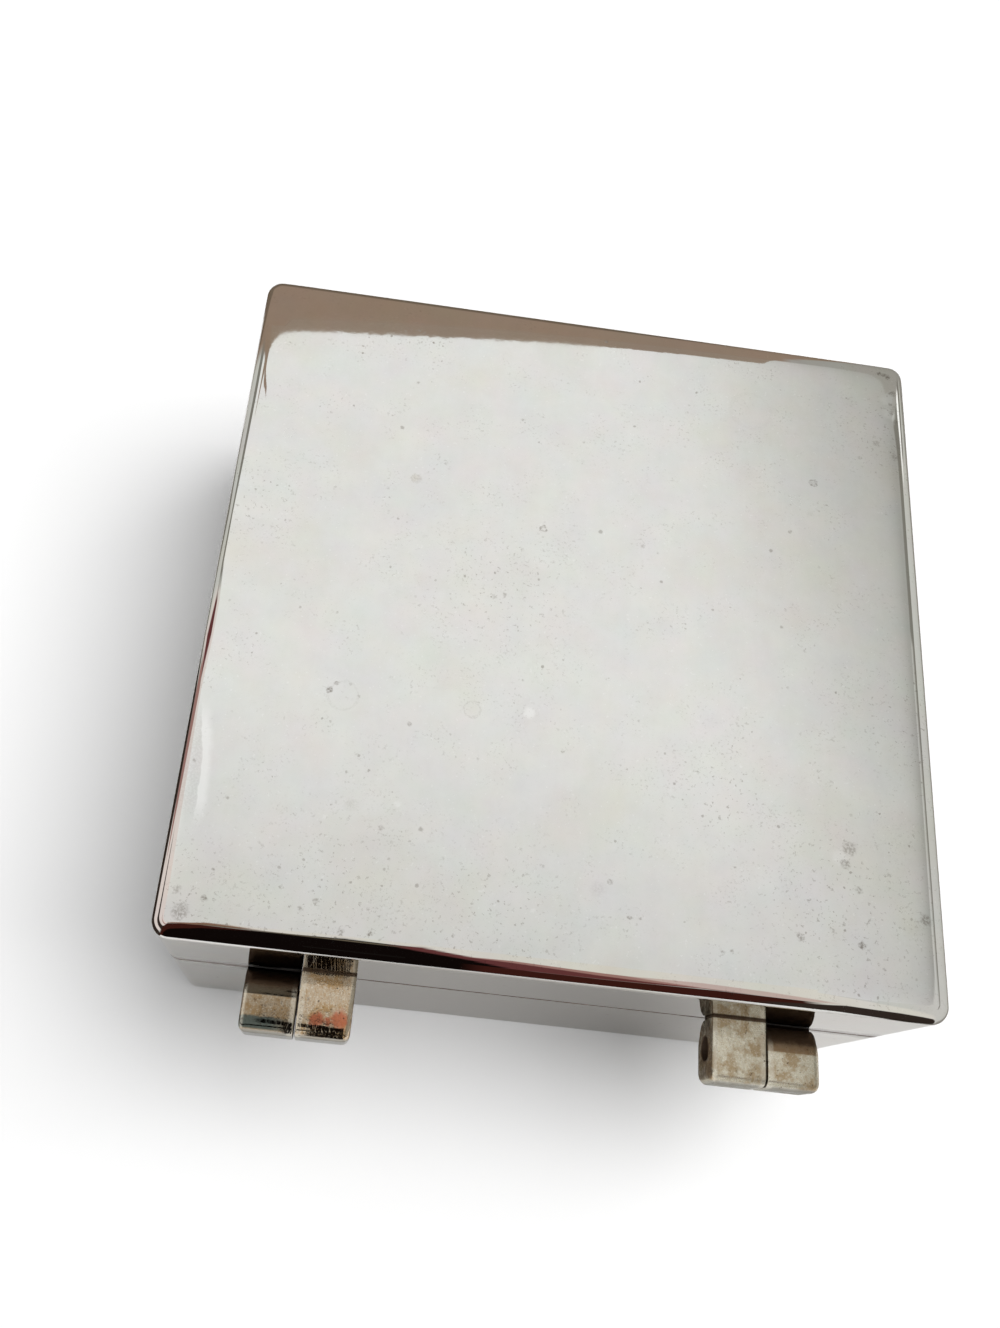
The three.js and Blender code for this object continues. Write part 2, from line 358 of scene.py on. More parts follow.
# Marks on the lid's top: x, y, radius, strength. Rings have their thickness before their strength.
lidMarks = {
    "dark": [
        (32.3, 16.1, 0.5, 0.7), (31.4, 15.1, 0.35, 0.5), (29.6, 15.0, 0.3, 0.3), (28.4, 16.6, 0.3, 0.35),
        (21.4, 19.6, 0.35, 0.4), (1.0, 20.7, 0.3, 0.4), (-9.0, -11.5, 0.35, 0.35), (10.2, -1.0, 0.35, 0.4),
        (11.7, -0.4, 0.4, 0.35), (8.2, -8.4, 0.3, 0.3), (20.1, -20.8, 0.3, 0.3), (-30.6, -17.0, 0.3, 0.4),
        (-41.7, -31.4, 0.35, 0.3), (-47.1, -32.3, 0.6, 0.35), (-44.4, -34.3, 0.6, 0.4), (-47.4, -44.0, 0.6, 0.6),
        (-47.0, -41.8, 0.35, 0.5), (-47.2, -40.4, 0.45, 0.55), (-47.7, -38.8, 0.4, 0.5), (-45.6, -47.35, 0.4, 0.8),
        (-46.3, -47.25, 0.4, 0.8), (-46.9, -47.1, 0.45, 0.8), (23.6, 33.8, 0.35, 0.4), (43.8, 45.0, 0.45, 0.7),
        (46.5, 46.9, 1.1, 0.5), (47.3, 44.2, 0.6, 0.4), (30.4, 43.8, 0.4, 0.45), (32.1, 45.0, 0.35, 0.45),
        (23.4, 47.0, 0.4, 0.65), (27.0, 47.2, 0.45, 0.5), (-5.9, 37.2, 0.4, 0.45), (-8.5, 41.4, 0.35, 0.6),
        (-37.3, 29.3, 1.0, 0.45), (-36.6, 31.3, 0.7, 0.5), (-38.3, 34.5, 0.5, 0.45), (-30.4, 41.3, 0.55, 0.5),
        (-38.3, 41.5, 0.55, 0.75), (-34.7, 40.1, 0.3, 0.45), (-21.6, 44.2, 0.3, 0.45), (-20.4, 44.3, 0.3, 0.4),
        (-46.9, 37.4, 0.8, 0.65), (24.0, -17.6, 0.7, 0.22), (-34.3, -25.8, 0.5, 0.25)],
    "ring": [
        (5.4, -12.1, 0.42, 0.25, 0.5), (-34.3, -25.8, 0.5, 0.22, 0.5), (24.2, -17.6, 0.65, 0.25, 0.2),
        (13.3, 16.4, 1.12, 0.22, 0.16), (30.4, 16.7, 2.0, 0.25, 0.09), (-25.0, -37.1, 3.1, 0.5, 0.05)],
    "yellow": [
        (24.2, -17.6, 0.8, 0.8), (13.3, 16.4, 1.2, 0.45), (42.7, 43.9, 6.0, 0.6), (-44.7, 38.4, 1.4, 0.5),
        (-46.5, -47.5, 4.0, 0.5), (-47.5, -31.0, 5.0, 0.6)],
    "pale": [
        (5.7, 15.9, 0.85, 0.45), (21.8, 30.4, 0.5, 0.35), (30.8, 33.2, 0.4, 0.25), (-46.9, -42.5, 1.3, 0.5),
        (-46.9, -40.2, 1.2, 0.5), (3.6, 42.0, 0.4, 0.3), (-36.0, 30.5, 1.2, 0.3)],
    "smear": [
        (27.6, 31.2, 0.9, 0.16), (-4.4, 38.3, 1.1, 0.12), (-33.7, -20.4, 0.6, 0.12), (-27.4, -37.6, 1.5, 0.035)],
    "speckled": [
        (-38.3, 46.2, 6.0), (29.0, 43.5, 13.0), (-36.0, 38.0, 15.0), (11.0, -2.0, 12.0), (46.0, 44.0, 7.0),
        (-46.0, 10.0, 9.0), (-46.0, -36.0, 9.0), (46.0, -12.0, 8.0), (8.0, 44.0, 12.0), (-20.0, 24.0, 9.0)],
    "worn": (96.8, 33.0, 50.0, 28.0, 9.0),  # a pale painted highlight along a large circle, a lamp's edge reflected, with a faint darker side: the circle, then its middle and half length
}


def distanceFrom(vector, x, y):
    return vectorMath("DISTANCE", vector, (x, y, 0))["Value"]


# How much of a round mark covers each point: 1 inside, falling to 0 at its edge
def roundMark(vector, x, y, radius, soft=0.5):
    return carry(distanceFrom(vector, x, y), radius * (1 + soft / 2), radius * (1 - soft))


def ringMark(vector, x, y, radius, thickness):
    return carry(apart(distanceFrom(vector, x, y), radius), thickness, thickness * 0.25)


# Adds noise to a point, so that outlines measured from it become ragged
def raggedPoint(point, size, amount):
    shift = vectorMath("SUBTRACT", colourNoise(point, size, 2.0), (0.5, 0.5, 0.5))[0]
    return vectorMath("MULTIPLY_ADD", shift, (2 * amount,) * 3, point)[0]


# The lid's own marks, and a painted highlight along an arc with a faint darker side, as four amounts: dark, yellow,
# pale and speckled
def lidMarkAmounts():
    flat = millimetres((1, 1, 0))
    ragged = raggedPoint(flat, 0.55, 0.4)
    broken = carry(noise(flat, 0.3, 2.0), 0.36, 0.6, 0.2, 1.0)

    def rounds(kind, soft):
        return [times(roundMark(ragged, x, y, r, soft), s) for x, y, r, s in lidMarks[kind]]

    rings = [times(ringMark(ragged, x, y, r, t), s) for x, y, r, t, s in lidMarks["ring"]]
    dark = rounds("dark", 0.5) + rings + rounds("smear", 0.9)
    yellow, pale = rounds("yellow", 0.8), rounds("pale", 0.6)
    speckled = [roundMark(flat, x, y, r, 0.9) for x, y, r in lidMarks["speckled"]]
    # a painted highlight along an arc, the edge of a lamp's reflection, with a faint painted darker side
    x, y, radius, middle, half = lidMarks["worn"]
    distance = distanceFrom(raggedPoint(flat, 1.8, 0.35), x, y)
    along = carry(apart(partsOf(flat)[1], middle), half, half * 0.5)
    across = times(carry(distance, radius - 0.1, radius + 0.05), carry(distance, radius + 1.6, radius + 0.5))
    pale.append(times(times(along, across), 0.6))
    dark.append(times(times(along, carry(distance, radius, radius - 0.25)), 0.1))
    return times(highest(dark), broken), highest(yellow), highest(pale), highest(speckled)


# Dirt in the seam between lid and base, in a line whose thickness wanders. Outside the hinges, on the back
# wall, it has spread up and down.
def seamDirt(point):
    x, y, z = partsOf(point)
    wander = carry(noise(millimetres((1, 1, 0)), 4.0, 2.0), 0.3, 0.7, 0.7, 1.3)
    amount = calculate("DIVIDE", apart(z, seamHeight), wander)
    outside = times(carry(calculate("ABSOLUTE", x), *wallLook["spreadAlong"]), carry(y, *wallLook["spreadOut"]))
    spread = times(carry(amount, *wallLook["spread"]), outside)
    return highest([carry(amount, *wallLook["line"]), times(spread, 0.6)])


# Painted shade over the middle of the back wall, outside the shell, for the shadow that the wall reflects
def paintedWallShade(point):
    x, y, _ = partsOf(point)
    along = highest([carry(apart(x, wallLook["dulledMiddle"]), *wallLook["dulledAlong"]),
                     carry(x, *wallLook["dulledBeyond"], 0.0, 0.4)])
    return times(along, carry(y, *wallLook["dulledOut"]))


def plateMaterial(name, onLid):
    material, shader = newShader(name)
    look = plateLook
    point = millimetres()
    ragged = raggedPoint(point, 0.35, 0.16)
    patches = noise(point, look["patchSize"], 3.0)
    clusters = carry(noise(point, look["clusterSize"], 3.0, 0.65), 0.46, 0.66)
    specks = times(carry(noise(point, look["speckSize"], 3.0, 0.65), 0.56, 0.68), clusters)
    sheenLines = noise(millimetres((1, 0.08, 1)), look["sheenSize"], 3.0)
    mottle = noise(point, look["mottleSize"], 5.0, 0.7)
    tints = colourNoise(point, look["tintSize"], 4.0)
    bright = carry(noise(point, look["brightSize"], 2.0, 0.6), 0.66, 0.74)
    seam = seamDirt(point)
    yellow = [carry(patches, 0.5, 0.66, 0, 0.42)]
    dark = [times(pits(ragged, *look["singlePits"]), 0.42)]
    crowd = clusters
    marks = []
    if onLid:
        markDark, markYellow, markPale, speckled = lidMarkAmounts()
        crowd = highest([clusters, speckled])
        crowded = carry(noise(ragged, look["crowdedSize"], 3.0, 0.7), 0.6, 0.68, 0, 1.7)
        specks = highest([specks, times(speckled, crowded)])
        yellow.append(markYellow)
        dark.append(markDark)
        # pale marks, with the painted highlight along an arc
        marks.append((markPale, look["bright"]))
    dark += [times(pits(ragged, *look["finePits"], crowd), 0.5), times(specks, 0.25)]
    dark = highest(dark)
    colour = layered(look["silver"], [
        (carry(patches, 0.5, 0.36, 0, 0.6), look["greyed"]),
        (highest(yellow), look["yellowed"]),
        (carry(sheenLines, 0.4, 0.7, 0, 0.035), look["sheen"]),
        (carry(mottle, 0.35, 0.7, 0, 0.16), look["mottled"]),
        (0.07, tints),
        (times(bright, 0.3), look["bright"]),
        *marks,
        # painted shade over the back wall
        (paintedWallShade(point), look["dulled"]),
        (dark, look["pitted"]),
        (times(seam, 0.9), look["seamDirt"]),
    ])
    haze = carry(patches, 0.35, 0.75, look["roughness"] * 0.8, look["roughness"] * 1.6)
    normal = None
    for size, detail, height in look["waves"]:
        normal = bump(noise(point, size, detail), height, normal)
    setInputs(shader, {
        "Base Color": colour,
        "Roughness": calculate("ADD", haze, times(dark, 0.3)),
        "Metallic": calculate("SUBTRACT", 1.0, times(seam, 0.9)),
        "IOR": 1.05,
        "Specular Tint": (*look["edgeTint"], 1),
        "Normal": normal,
    })
    return material


# Block hinges

hinges = {
    "pivot": (54.0, seamHeight),
    "radius": 3.7,
    "reach": 4.5,
    "wallSide": -4.5,  # the soldered side goes half a millimetre into the wall
    "halfWidth": 3.5,
    "lidMiddle": 27.5,
    "baseMiddle": 35.1,
    "upperCorner": 1.5,
    "lowerCorner": 1.6,
    "freeEdge": 1.0,  # how round a block's outer end is, and the end that meets the other block
    "meetingEdge": 0.25,
    "burr": 0.2,  # how far the worn ends that meet stand into the gap between the blocks
    "foot": 1.5,  # the stretch next to the wall over which the rounding of the ends fades out
    "mouthEdge": 0.12,
    "boreRadius": 1.65,
    "boreEndWall": 1.4,
    "pinChamfer": 0.3,
    "pinCore": 0.4,  # the radius of the innermost ring on a pin's end
    "pinSteel": (0.30, 0.28, 0.26),
    "pinRust": (0.12, 0.07, 0.04),
}

# Pairs of places in millimetres run from none to all of what they say
hingeLook = {
    "pale": (0.67, 0.63, 0.51),
    "tan": (0.47, 0.35, 0.21),
    "paleWarm": (0.60, 0.49, 0.36),  # the same two on the +X hinge
    "tanWarm": (0.47, 0.30, 0.14),
    # painted brown reflections where the base's blocks slope to the wall; the second also darkens the base's +X
    # block all over
    "slope": (0.30, 0.19, 0.105),
    "slopeWarm": (0.085, 0.068, 0.048),
    "outside": (0.33, 0.325, 0.30),
    # the colour of dirt and of painted shade
    "brown": (0.09, 0.055, 0.035),
    "bright": (0.84, 0.80, 0.69),  # on edges, as wear and a painted highlight, and in grain and hairlines
    # a painted orange glint on the lid's +X block
    "copper": (0.50, 0.15, 0.075),
    "copperPatches": [(28.5, 56.2, 1.1), (25.6, 55.9, 1.3), (27.1, 56.3, 0.6)],
    # a painted dark reflection near the outside of the base's +X block
    "blackened": (0.10, 0.115, 0.10),
    "edgeTint": (0.5, 0.49, 0.47),
    "patchSize": 2.6,
    "grimeSize": 0.7,
    "grainSize": 0.22,
    # dirt and painted shade next to the wall
    "lidDirt": (50.5, 50.05),
    "baseDirt": (54.2, 51.2),
    "polished": 0.06,
    "dull": 0.28,
    "dullAlong": (10.0, -10.0),
    "warmAlong": (-5.0, 5.0),
    "slopeOut": (53.85, 53.72),
    "blackOut": (55.9, 57.0),
    "blackEnd": (58.15, 57.9),
    "blackAlong": (31.0, 35.0),
    "outsideOut": (58.0, 58.35),
    "boreDirt": (1.85, 1.68),  # from the pivot line
    "rubbedEdge": (0.75, 0.4),  # from a block's end
    "pits": (0.62, 0.15, 0.6),  # as in plateLook
}


# Worn plate: pale metal with tan tarnish in patches, brown dirt, pits and hairlines. Next to the wall it is
# darkened by dirt and painted shade. It is darker in the bore, its ends are darkened by painted shade, and the
# edges next to the ends are made bright by wear and a painted highlight. The outermost strip is grey. The lid's
# +X block has a painted orange glint in patches. The base's blocks have a painted brown reflection where they
# slope to the wall, and the +X one is darker all over and has a painted black reflection near its outside.
def hingeMaterial(name, onLid):
    material, shader = newShader(name)
    look = hingeLook
    point = millimetres()
    x, y, _ = partsOf(point)
    upright = vectorMath("MULTIPLY", point, (0, 1, 1))[0]
    axisDistance = vectorMath("DISTANCE", upright, (0, *hinges["pivot"]))["Value"]
    facing = addNode("ShaderNodeTexCoord").outputs["Normal"]
    endFace = calculate("ABSOLUTE", partsOf(facing)[0])
    offMiddle = apart(calculate("ABSOLUTE", x), hinges["lidMiddle" if onLid else "baseMiddle"])
    nearEnd = carry(offMiddle, *(hinges["halfWidth"] - margin for margin in look["rubbedEdge"]))
    warm = carry(x, *look["warmAlong"])
    patches = noise(point, look["patchSize"], 5.0, 0.7)
    grime = noise(point, look["grimeSize"], 4.0, 0.7)
    grains = noise(point, look["grainSize"], 3.0, 0.7)
    # dirt and painted shade next to the wall
    dirtAndShadeByWall = carry(y, *look["lidDirt" if onLid else "baseDirt"])
    dirtAndShadeByWall = carry(calculate("ADD", dirtAndShadeByWall, times(grime, 0.5)), 0.42, 1.05)
    specks = times(carry(grime, 0.56, 0.7), carry(patches, 0.4, 0.6))
    holes = pits(raggedPoint(point, 0.2, 0.1), *look["pits"])
    lines = highest([scratches(0.15, 0.1, 0.6), scratches(-0.3, 0.08, 0.62)])
    pale = blendColour(warm, look["pale"], look["paleWarm"])
    tan = blendColour(warm, look["tan"], look["tanWarm"])
    layers = [
        (carry(patches, 0.44, 0.6, 0.1, 0.95), tan),
        (carry(grains, 0.52, 0.66, 0, 0.55), tan),
        (carry(grains, 0.46, 0.34, 0, 0.5), look["bright"]),
        (times(lines, 0.35), look["bright"]),
    ]
    if onLid:
        # a painted orange glint in patches
        level = vectorMath("MULTIPLY", raggedPoint(point, 0.5, 0.55), (1, 1, 0))[0]
        copper = highest([roundMark(level, *patch) for patch in look["copperPatches"]])
        layers.append((times(copper, 0.9), look["copper"]))
    else:
        # painted reflection where the base's blocks slope to the wall
        slope = blendColour(warm, look["slope"], look["slopeWarm"])
        # a painted dark reflection near the outside of the +X block
        black = calculate("ADD", carry(y, *look["blackOut"]), times(grime, 0.9))
        black = times(carry(black, 0.8, 1.25), carry(y, *look["blackEnd"]))
        black = times(black, carry(x, *look["blackAlong"], 0.3, 1.0))
        layers += [
            (times(warm, 0.42), look["slopeWarm"]),
            (carry(y, *look["slopeOut"], 0, 0.85), slope),
            (times(black, warm), look["blackened"]),
        ]
    # painted highlight and wear on the edges next to the ends
    wornAndLitEdges = times(nearEnd, carry(endFace, 0.95, 0.6))
    inBore = carry(axisDistance, *look["boreDirt"])
    # painted shade on the ends, which reflect shadow
    shadedEnds = times(carry(endFace, 0.8, 0.97), carry(grime, 0.3, 0.6, 0.45, 0.8))
    dirtAndShade = highest([times(dirtAndShadeByWall, 0.93), times(specks, 0.6), times(holes, 0.65), times(inBore, 0.95), shadedEnds])
    layers += [
        (carry(y, *look["outsideOut"], 0, 0.85), look["outside"]),
        (times(wornAndLitEdges, 0.4), look["bright"]),
        # dirt, and painted shade by the wall and on the ends
        (dirtAndShade, look["brown"]),
    ]
    dull = carry(x, *look["dullAlong"], look["polished"], look["dull"])
    dull = times(dull, carry(patches, 0.35, 0.65, 0.8, 1.5))
    normal = bump(patches, 0.018)
    normal = bump(calculate("SUBTRACT", lines, holes), 0.007, normal)
    setInputs(shader, {
        "Base Color": layered(pale, layers),
        "Roughness": calculate("ADD", dull, times(dirtAndShade, 0.3)),
        "Metallic": 1.0,
        "Specular Tint": (*look["edgeTint"], 1),
        "Normal": bump(grains, 0.003, normal),
    })
    return material


def pinMaterial():
    material, shader = newShader("pinSteel")
    rust = carry(noise(millimetres(), 0.7, 4.0), 0.45, 0.7)
    setInputs(shader, {
        "Base Color": blendColour(rust, hinges["pinSteel"], hinges["pinRust"]),
        "Roughness": carry(rust, 0, 1, 0.35, 0.7),
        "Metallic": 1.0,
        "Normal": bump(rust, 0.03),
    })
    return material


# Plated shells

shells = {
    "wall": 1.2,
    "cornerRadius": 2.3,
    "topEdgeRadius": 2.0,
    "bottomEdgeRadius": 0.8,
    "rimEdgeRadius": 0.35,
    "innerRimRadius": 0.15,
    "innermostRing": 8.0,  # its distance from the base's outline, on the underside
    "topRings": 14.0,  # how far in from the top's edge the lid has rings
    "dubDrop": 0.085,  # polishing has let the lid's top fall away towards its edges
    "dubReach": 0.9,
    "dubWall": 6.0,  # how much of the wall is let down with it
}


def shellRings(profile, halfX, halfY):
    return levelRings(profile, lambda inset: roundedOutline(
        halfX - inset, halfY - inset, max(shells["cornerRadius"] - inset, 0.25)))


def makeBaseShell(material):
    low, high = nodeBox("base_shell")
    wall, edge, rim, inner = (shells[k] for k in ("wall", "bottomEdgeRadius", "rimEdgeRadius", "innerRimRadius"))
    profile = np.concatenate([
        [[shells["innermostRing"], low[2]]],
        arcPoints(edge, low[2] + edge, edge, -quarter, -math.pi, 8),
        arcPoints(rim, high[2] - rim, rim, math.pi, quarter, 6),
        arcPoints(wall - inner, high[2] - inner, inner, quarter, 0, 4),
        [[wall, low[2] + wall]],
    ])
    rings = shellRings(withSupports(profile), high[0], high[1])
    return place(ringSurface("baseShell", rings), "base_shell", material)


# How far the lid's top falls at a distance from one edge: drop * exp(-(distance - edge radius) / reach), and
# from the edge radius outwards a straight slope that goes on from it
def dubbing(distance):
    past = distance - shells["topEdgeRadius"]
    curve = np.exp(-np.maximum(past, 0) / shells["dubReach"]) - np.minimum(past, 0) / shells["dubReach"]
    return shells["dubDrop"] * curve


# The outer wall is let down with the top's edge, more and more over its upper half
def makeLidShell(material):
    low, high = nodeBox("lid_shell")
    wall, edge, rim, inner = (shells[k] for k in ("wall", "topEdgeRadius", "rimEdgeRadius", "innerRimRadius"))
    topInsets = edge + shells["topRings"] * np.linspace(0, 1, 19)[1:] ** 2
    profile = np.concatenate([
        [[wall, high[2] - wall]],
        arcPoints(wall - inner, low[2] + inner, inner, 0, -quarter, 4),
        arcPoints(rim, low[2] + rim, rim, -quarter, -math.pi, 6),
        arcPoints(edge, high[2] - edge, edge, math.pi, quarter, 18),
        np.column_stack([topInsets, np.full(len(topInsets), high[2])]),
    ])
    rings = shellRings(withSupports(profile), high[0], high[1])
    drop = dubbing(high[0] - np.abs(rings[..., 0])) + dubbing(high[1] - np.abs(rings[..., 1]))
    upper = shells["dubWall"]
    share = np.clip((rings[..., 2] - (high[2] - edge - upper)) / upper, 0, 1)
    outside = np.arange(len(rings))[:, None] > 1
    rings[..., 2] -= drop * share * outside
    return place(ringSurface("lidShell", rings), "lid_shell", material)


# The block's outline from the side, as [out, up] from the pivot, anticlockwise. It is a block whose quarter
# next to the other shell's wall is round about the pivot.
def knuckleProfile(onLid):
    radius, reach, wallSide = hinges["radius"], hinges["reach"], hinges["wallSide"]
    far, near = (hinges[k] for k in (("upperCorner", "lowerCorner") if onLid else ("lowerCorner", "upperCorner")))
    points = np.concatenate([
        [[-radius, 0.0], [wallSide, 0.0], [wallSide, radius]],
        arcPoints(reach - far, radius - far, far, quarter, 0, 8),
        arcPoints(reach - near, near - radius, near, 0, -quarter, 8),
        arcPoints(0, 0, radius, -quarter, -math.pi, 20)[:-1],
    ])
    points = withSupports(points, 0.2, 1.0)
    return points if onLid else points * [1, -1]


# Draws a closed outline in by an amount, at right angles to the mean direction of its neighbouring edges. Next
# to the wall it is drawn in less and less, so that the block's foot keeps its whole width.
def drawnIn(outline, amount):
    ahead = np.roll(outline, -1, axis=0) - outline
    behind = outline - np.roll(outline, 1, axis=0)
    tangent = ahead / np.linalg.norm(ahead, axis=1)[:, None] + behind / np.linalg.norm(behind, axis=1)[:, None]
    tangent /= np.linalg.norm(tangent, axis=1)[:, None]
    area = (outline[:, 0] * np.roll(outline[:, 1], -1) - outline[:, 1] * np.roll(outline[:, 0], -1)).sum()
    inward = np.stack([-tangent[:, 1], tangent[:, 0]], axis=1) * np.sign(area)
    share = np.clip((outline[:, :1] + hinges["radius"]) / hinges["foot"], 0, 1)
    return outline + inward * amount * share


# One ring of a block or its bore: a flat outline set upright across X
def uprightRing(outline, x):
    pivotY, pivotZ = hinges["pivot"]
    return np.column_stack([np.full(len(outline), x), outline[:, 0] + pivotY, outline[:, 1] + pivotZ])


# The block's skin, carried from its bore out over one end, along X and over the other end. The ends' edges
# are rounded: each ring is drawn in by edge * (1 - sin t) while it stands edge * (1 - cos t) from the end. The
# lid's blocks meet the base's at their outer ends.
def makeKnuckle(node, onLid, material):
    low, high = nodeBox(node)
    side = 1 if low[0] > 0 else -1
    innerX, outerX = (low[0], high[0]) if side > 0 else (high[0], low[0])
    if onLid:
        outerX += side * hinges["burr"]
    else:
        innerX -= side * hinges["burr"]
    outline = knuckleProfile(onLid)
    angle = np.arctan2(outline[:, 1], outline[:, 0])
    bore = np.stack([np.cos(angle), np.sin(angle)], axis=1)
    mouth, boreRadius = hinges["mouthEdge"], hinges["boreRadius"]
    turn = np.linspace(0, quarter, 7)

    def endRings(x, inward):
        edge = hinges["freeEdge" if (x == innerX) == onLid else "meetingEdge"]
        return [uprightRing(drawnIn(outline, edge * (1 - math.sin(t))), x + inward * edge * (1 - math.cos(t)))
                for t in turn]

    def mouthRings(x, inward):
        return [uprightRing(bore * (boreRadius + mouth * (1 - math.sin(t))), x + inward * mouth * (1 - math.cos(t)))
                for t in turn[::2]]

    if onLid:
        rings = (mouthRings(innerX, side)[::-1] + endRings(innerX, side)
                 + endRings(outerX, -side)[::-1] + mouthRings(outerX, -side))
    else:
        rings = ([uprightRing(bore * boreRadius, outerX - side * hinges["boreEndWall"])]
                 + mouthRings(innerX, side)[::-1] + endRings(innerX, side) + endRings(outerX, -side)[::-1])
    return place(ringSurface(pieceName(node), np.array(rings), joined=onLid), node, material)


def makePin(node, material):
    low, high = nodeBox(node)
    radius, chamfer, core = (high[1] - low[1]) / 2, hinges["pinChamfer"], hinges["pinCore"]
    profile = [[core, low[0]], [radius - chamfer, low[0]], [radius, low[0] + chamfer],
               [radius, high[0] - chamfer], [radius - chamfer, high[0]], [core, high[0]]]
    circle = arcPoints(0, 0, 1, 0, 2 * math.pi, 48)[:-1]
    rings = np.array([uprightRing(circle * r, x) for r, x in profile])
    return place(ringSurface(pieceName(node), rings), node, material)


platedBase = plateMaterial("silverPlate", False)
platedLid = plateMaterial("markedSilverPlate", True)
wornLidBlocks = hingeMaterial("wornLidBlocks", True)
wornBaseBlocks = hingeMaterial("wornBaseBlocks", False)
darkSteel = pinMaterial()
makeBaseShell(platedBase)
makeLidShell(platedLid)
for sideName in ("left", "right"):
    makeKnuckle("lid_knuckle_" + sideName, True, wornLidBlocks)
    makeKnuckle("base_knuckle_" + sideName, False, wornBaseBlocks)
    makePin("hinge_pin_" + sideName, darkSteel)
print("shells and hinges made")

# Wooden lining

lining = {
    "edge": 0.35,
    "light": (0.44, 0.25, 0.13),
    "dark": (0.24, 0.115, 0.055),
    "pore": (0.10, 0.045, 0.025),
    "ringWidth": 4.5,
    "waves": 34.0,  # how many bands the bent pattern makes
    "cloudWidth": 11.0,
    "poreWidth": 0.16,
}


# Wood whose grain runs along one axis: wide bands of light and dark, bent by noise, and fine dark pores.
# Both patterns are stretched along the grain.
def woodMaterial(name, along):
    material, shader = newShader(name)
    bandStretch, poreStretch = np.ones(3), np.ones(3)
    bandStretch[along], poreStretch[along] = 0.07, 0.025
    bands = noise(millimetres(bandStretch), lining["ringWidth"], 3.0, 0.5, 0.8)
    wave = calculate("SINE", times(bands, lining["waves"]))
    figure = carry(wave, -1, 1, 0.0, 0.55)
    cloud = carry(noise(millimetres(bandStretch), lining["cloudWidth"], 2.0), 0.3, 0.7, 0, 0.45)
    pores = carry(noise(millimetres(poreStretch), lining["poreWidth"], 2.0), 0.58, 0.72)
    colour = blendColour(calculate("ADD", figure, cloud), lining["light"], lining["dark"])
    height = calculate("SUBTRACT", times(wave, 0.15), pores)
    setInputs(shader, {
        "Base Color": blendColour(times(pores, 0.7), colour, lining["pore"]),
        "Roughness": carry(pores, 0, 1, 0.42, 0.7),
        "Coat Weight": 0.15,
        "Coat Roughness": 0.3,
        "Normal": bump(height, 0.05),
    })
    return material


# A board with eased edges: its outline from above is drawn in at the top and bottom along a quarter circle
def makeBoard(node, material):
    low, high = nodeBox(node)
    edge = lining["edge"]
    half, centre = (high - low) / 2, (high + low) / 2
    rings = levelRings(withSupports(roundedSide(edge, low[2], high[2])), lambda inset: roundedOutline(
        half[0] - inset, half[1] - inset, edge - inset + 0.05, 4, 12) + centre[:2])
    return place(ringSurface(pieceName(node), rings), node, material)


grainAcross = woodMaterial("liningWoodAcross", 0)
grainDeep = woodMaterial("liningWoodDeep", 1)
for node in sorted(frame["nodes"]):
    if "_lining_" in node:
        makeBoard(node, grainDeep if node.endswith(("_left", "_right")) else grainAcross)
print("lining made")

# Felt under the base

felt = {
    "edge": 0.2,
    "cornerRadius": 1.5,
    "innermostRing": 4.0,
    "fibreSize": 0.5,
    "cloudSize": 6.0,
    "dark": (0.025, 0.055, 0.04),
    "light": (0.06, 0.12, 0.085),
}


def feltMaterial():
    material, shader = newShader("padFelt")
    point = millimetres()
    fibres = noise(point, felt["fibreSize"], 5.0, 0.7, 1.5)
    clouds = noise(point, felt["cloudSize"], 3.0)
    amount = calculate("ADD", times(fibres, 0.7), times(clouds, 0.4))
    setInputs(shader, {
        "Base Color": blendColour(carry(amount, 0.3, 0.8), felt["dark"], felt["light"]),
        "Roughness": 0.95,
        "Sheen Weight": 0.4,
        "Normal": bump(fibres, 0.12),
    })
    return material


# A flat pad of felt: its square outline is drawn in at its upper and lower edges along a quarter circle
def makeFeltPad(material):
    low, high = nodeBox("felt_pad")
    inner = felt["innermostRing"]
    profile = [[inner, low[2]], *roundedSide(felt["edge"], low[2], high[2]), [inner, high[2]]]
    rings = levelRings(profile, lambda inset: roundedOutline(
        high[0] - inset, high[1] - inset, max(felt["cornerRadius"] - inset, 0.3), 6, 24))
    pad = place(ringSurface("feltPad", rings), "felt_pad", material)


makeFeltPad(feltMaterial())
print("felt made")

# Studio: a white floor and sky, one large soft lamp, and cards that only reflections show

studio = {
    "floorHalf": 30000.0,
    "floorTone": 0.96,
    "floorLift": 0.05,
    "lampPlace": (-1633.0, -435.0, 3628.0),
    "lampSize": 3040.0,
    "lampPower": 150.0,
    "ambient": 0.33,
    "farFloor": (1500.0, 5000.0),  # from here to there the floor turns as white as the sky
}


def levelCorners(spanX, spanY, height):
    return [(spanX[k], spanY[m], height) for k, m in ((0, 0), (1, 0), (1, 1), (0, 1))]


# Something of the stage, from points in millimetres
def stageMesh(name, points, faces, material):
    mesh = bpy.data.meshes.new(name)
    mesh.from_pydata((np.array(points) * mm).tolist(), [], faces)
    mesh.materials.append(material)
    thing = addObject(name, mesh)
    return thing


# A card that only reflections show
def makeCard(name, points, faces, material):
    card = stageMesh(name, points, faces, material)
    card.visible_camera = card.visible_diffuse = card.visible_shadow = False
    return card


# 1 for rays that come straight from the camera, or by way of metal or glass alone, else 0
def seenRays():
    rays = addNode("ShaderNodeLightPath").outputs
    bounced = calculate("MAXIMUM", rays["Is Glossy Ray"], rays["Is Transmission Ray"])
    direct = calculate("SUBTRACT", 1.0, rays["Diffuse Depth"], clamp=True)
    return rays["Is Camera Ray"], times(bounced, direct)


def mixShaders(amount, first, second):
    return addNode("ShaderNodeMixShader", {0: amount, 1: first, 2: second}).outputs[0]


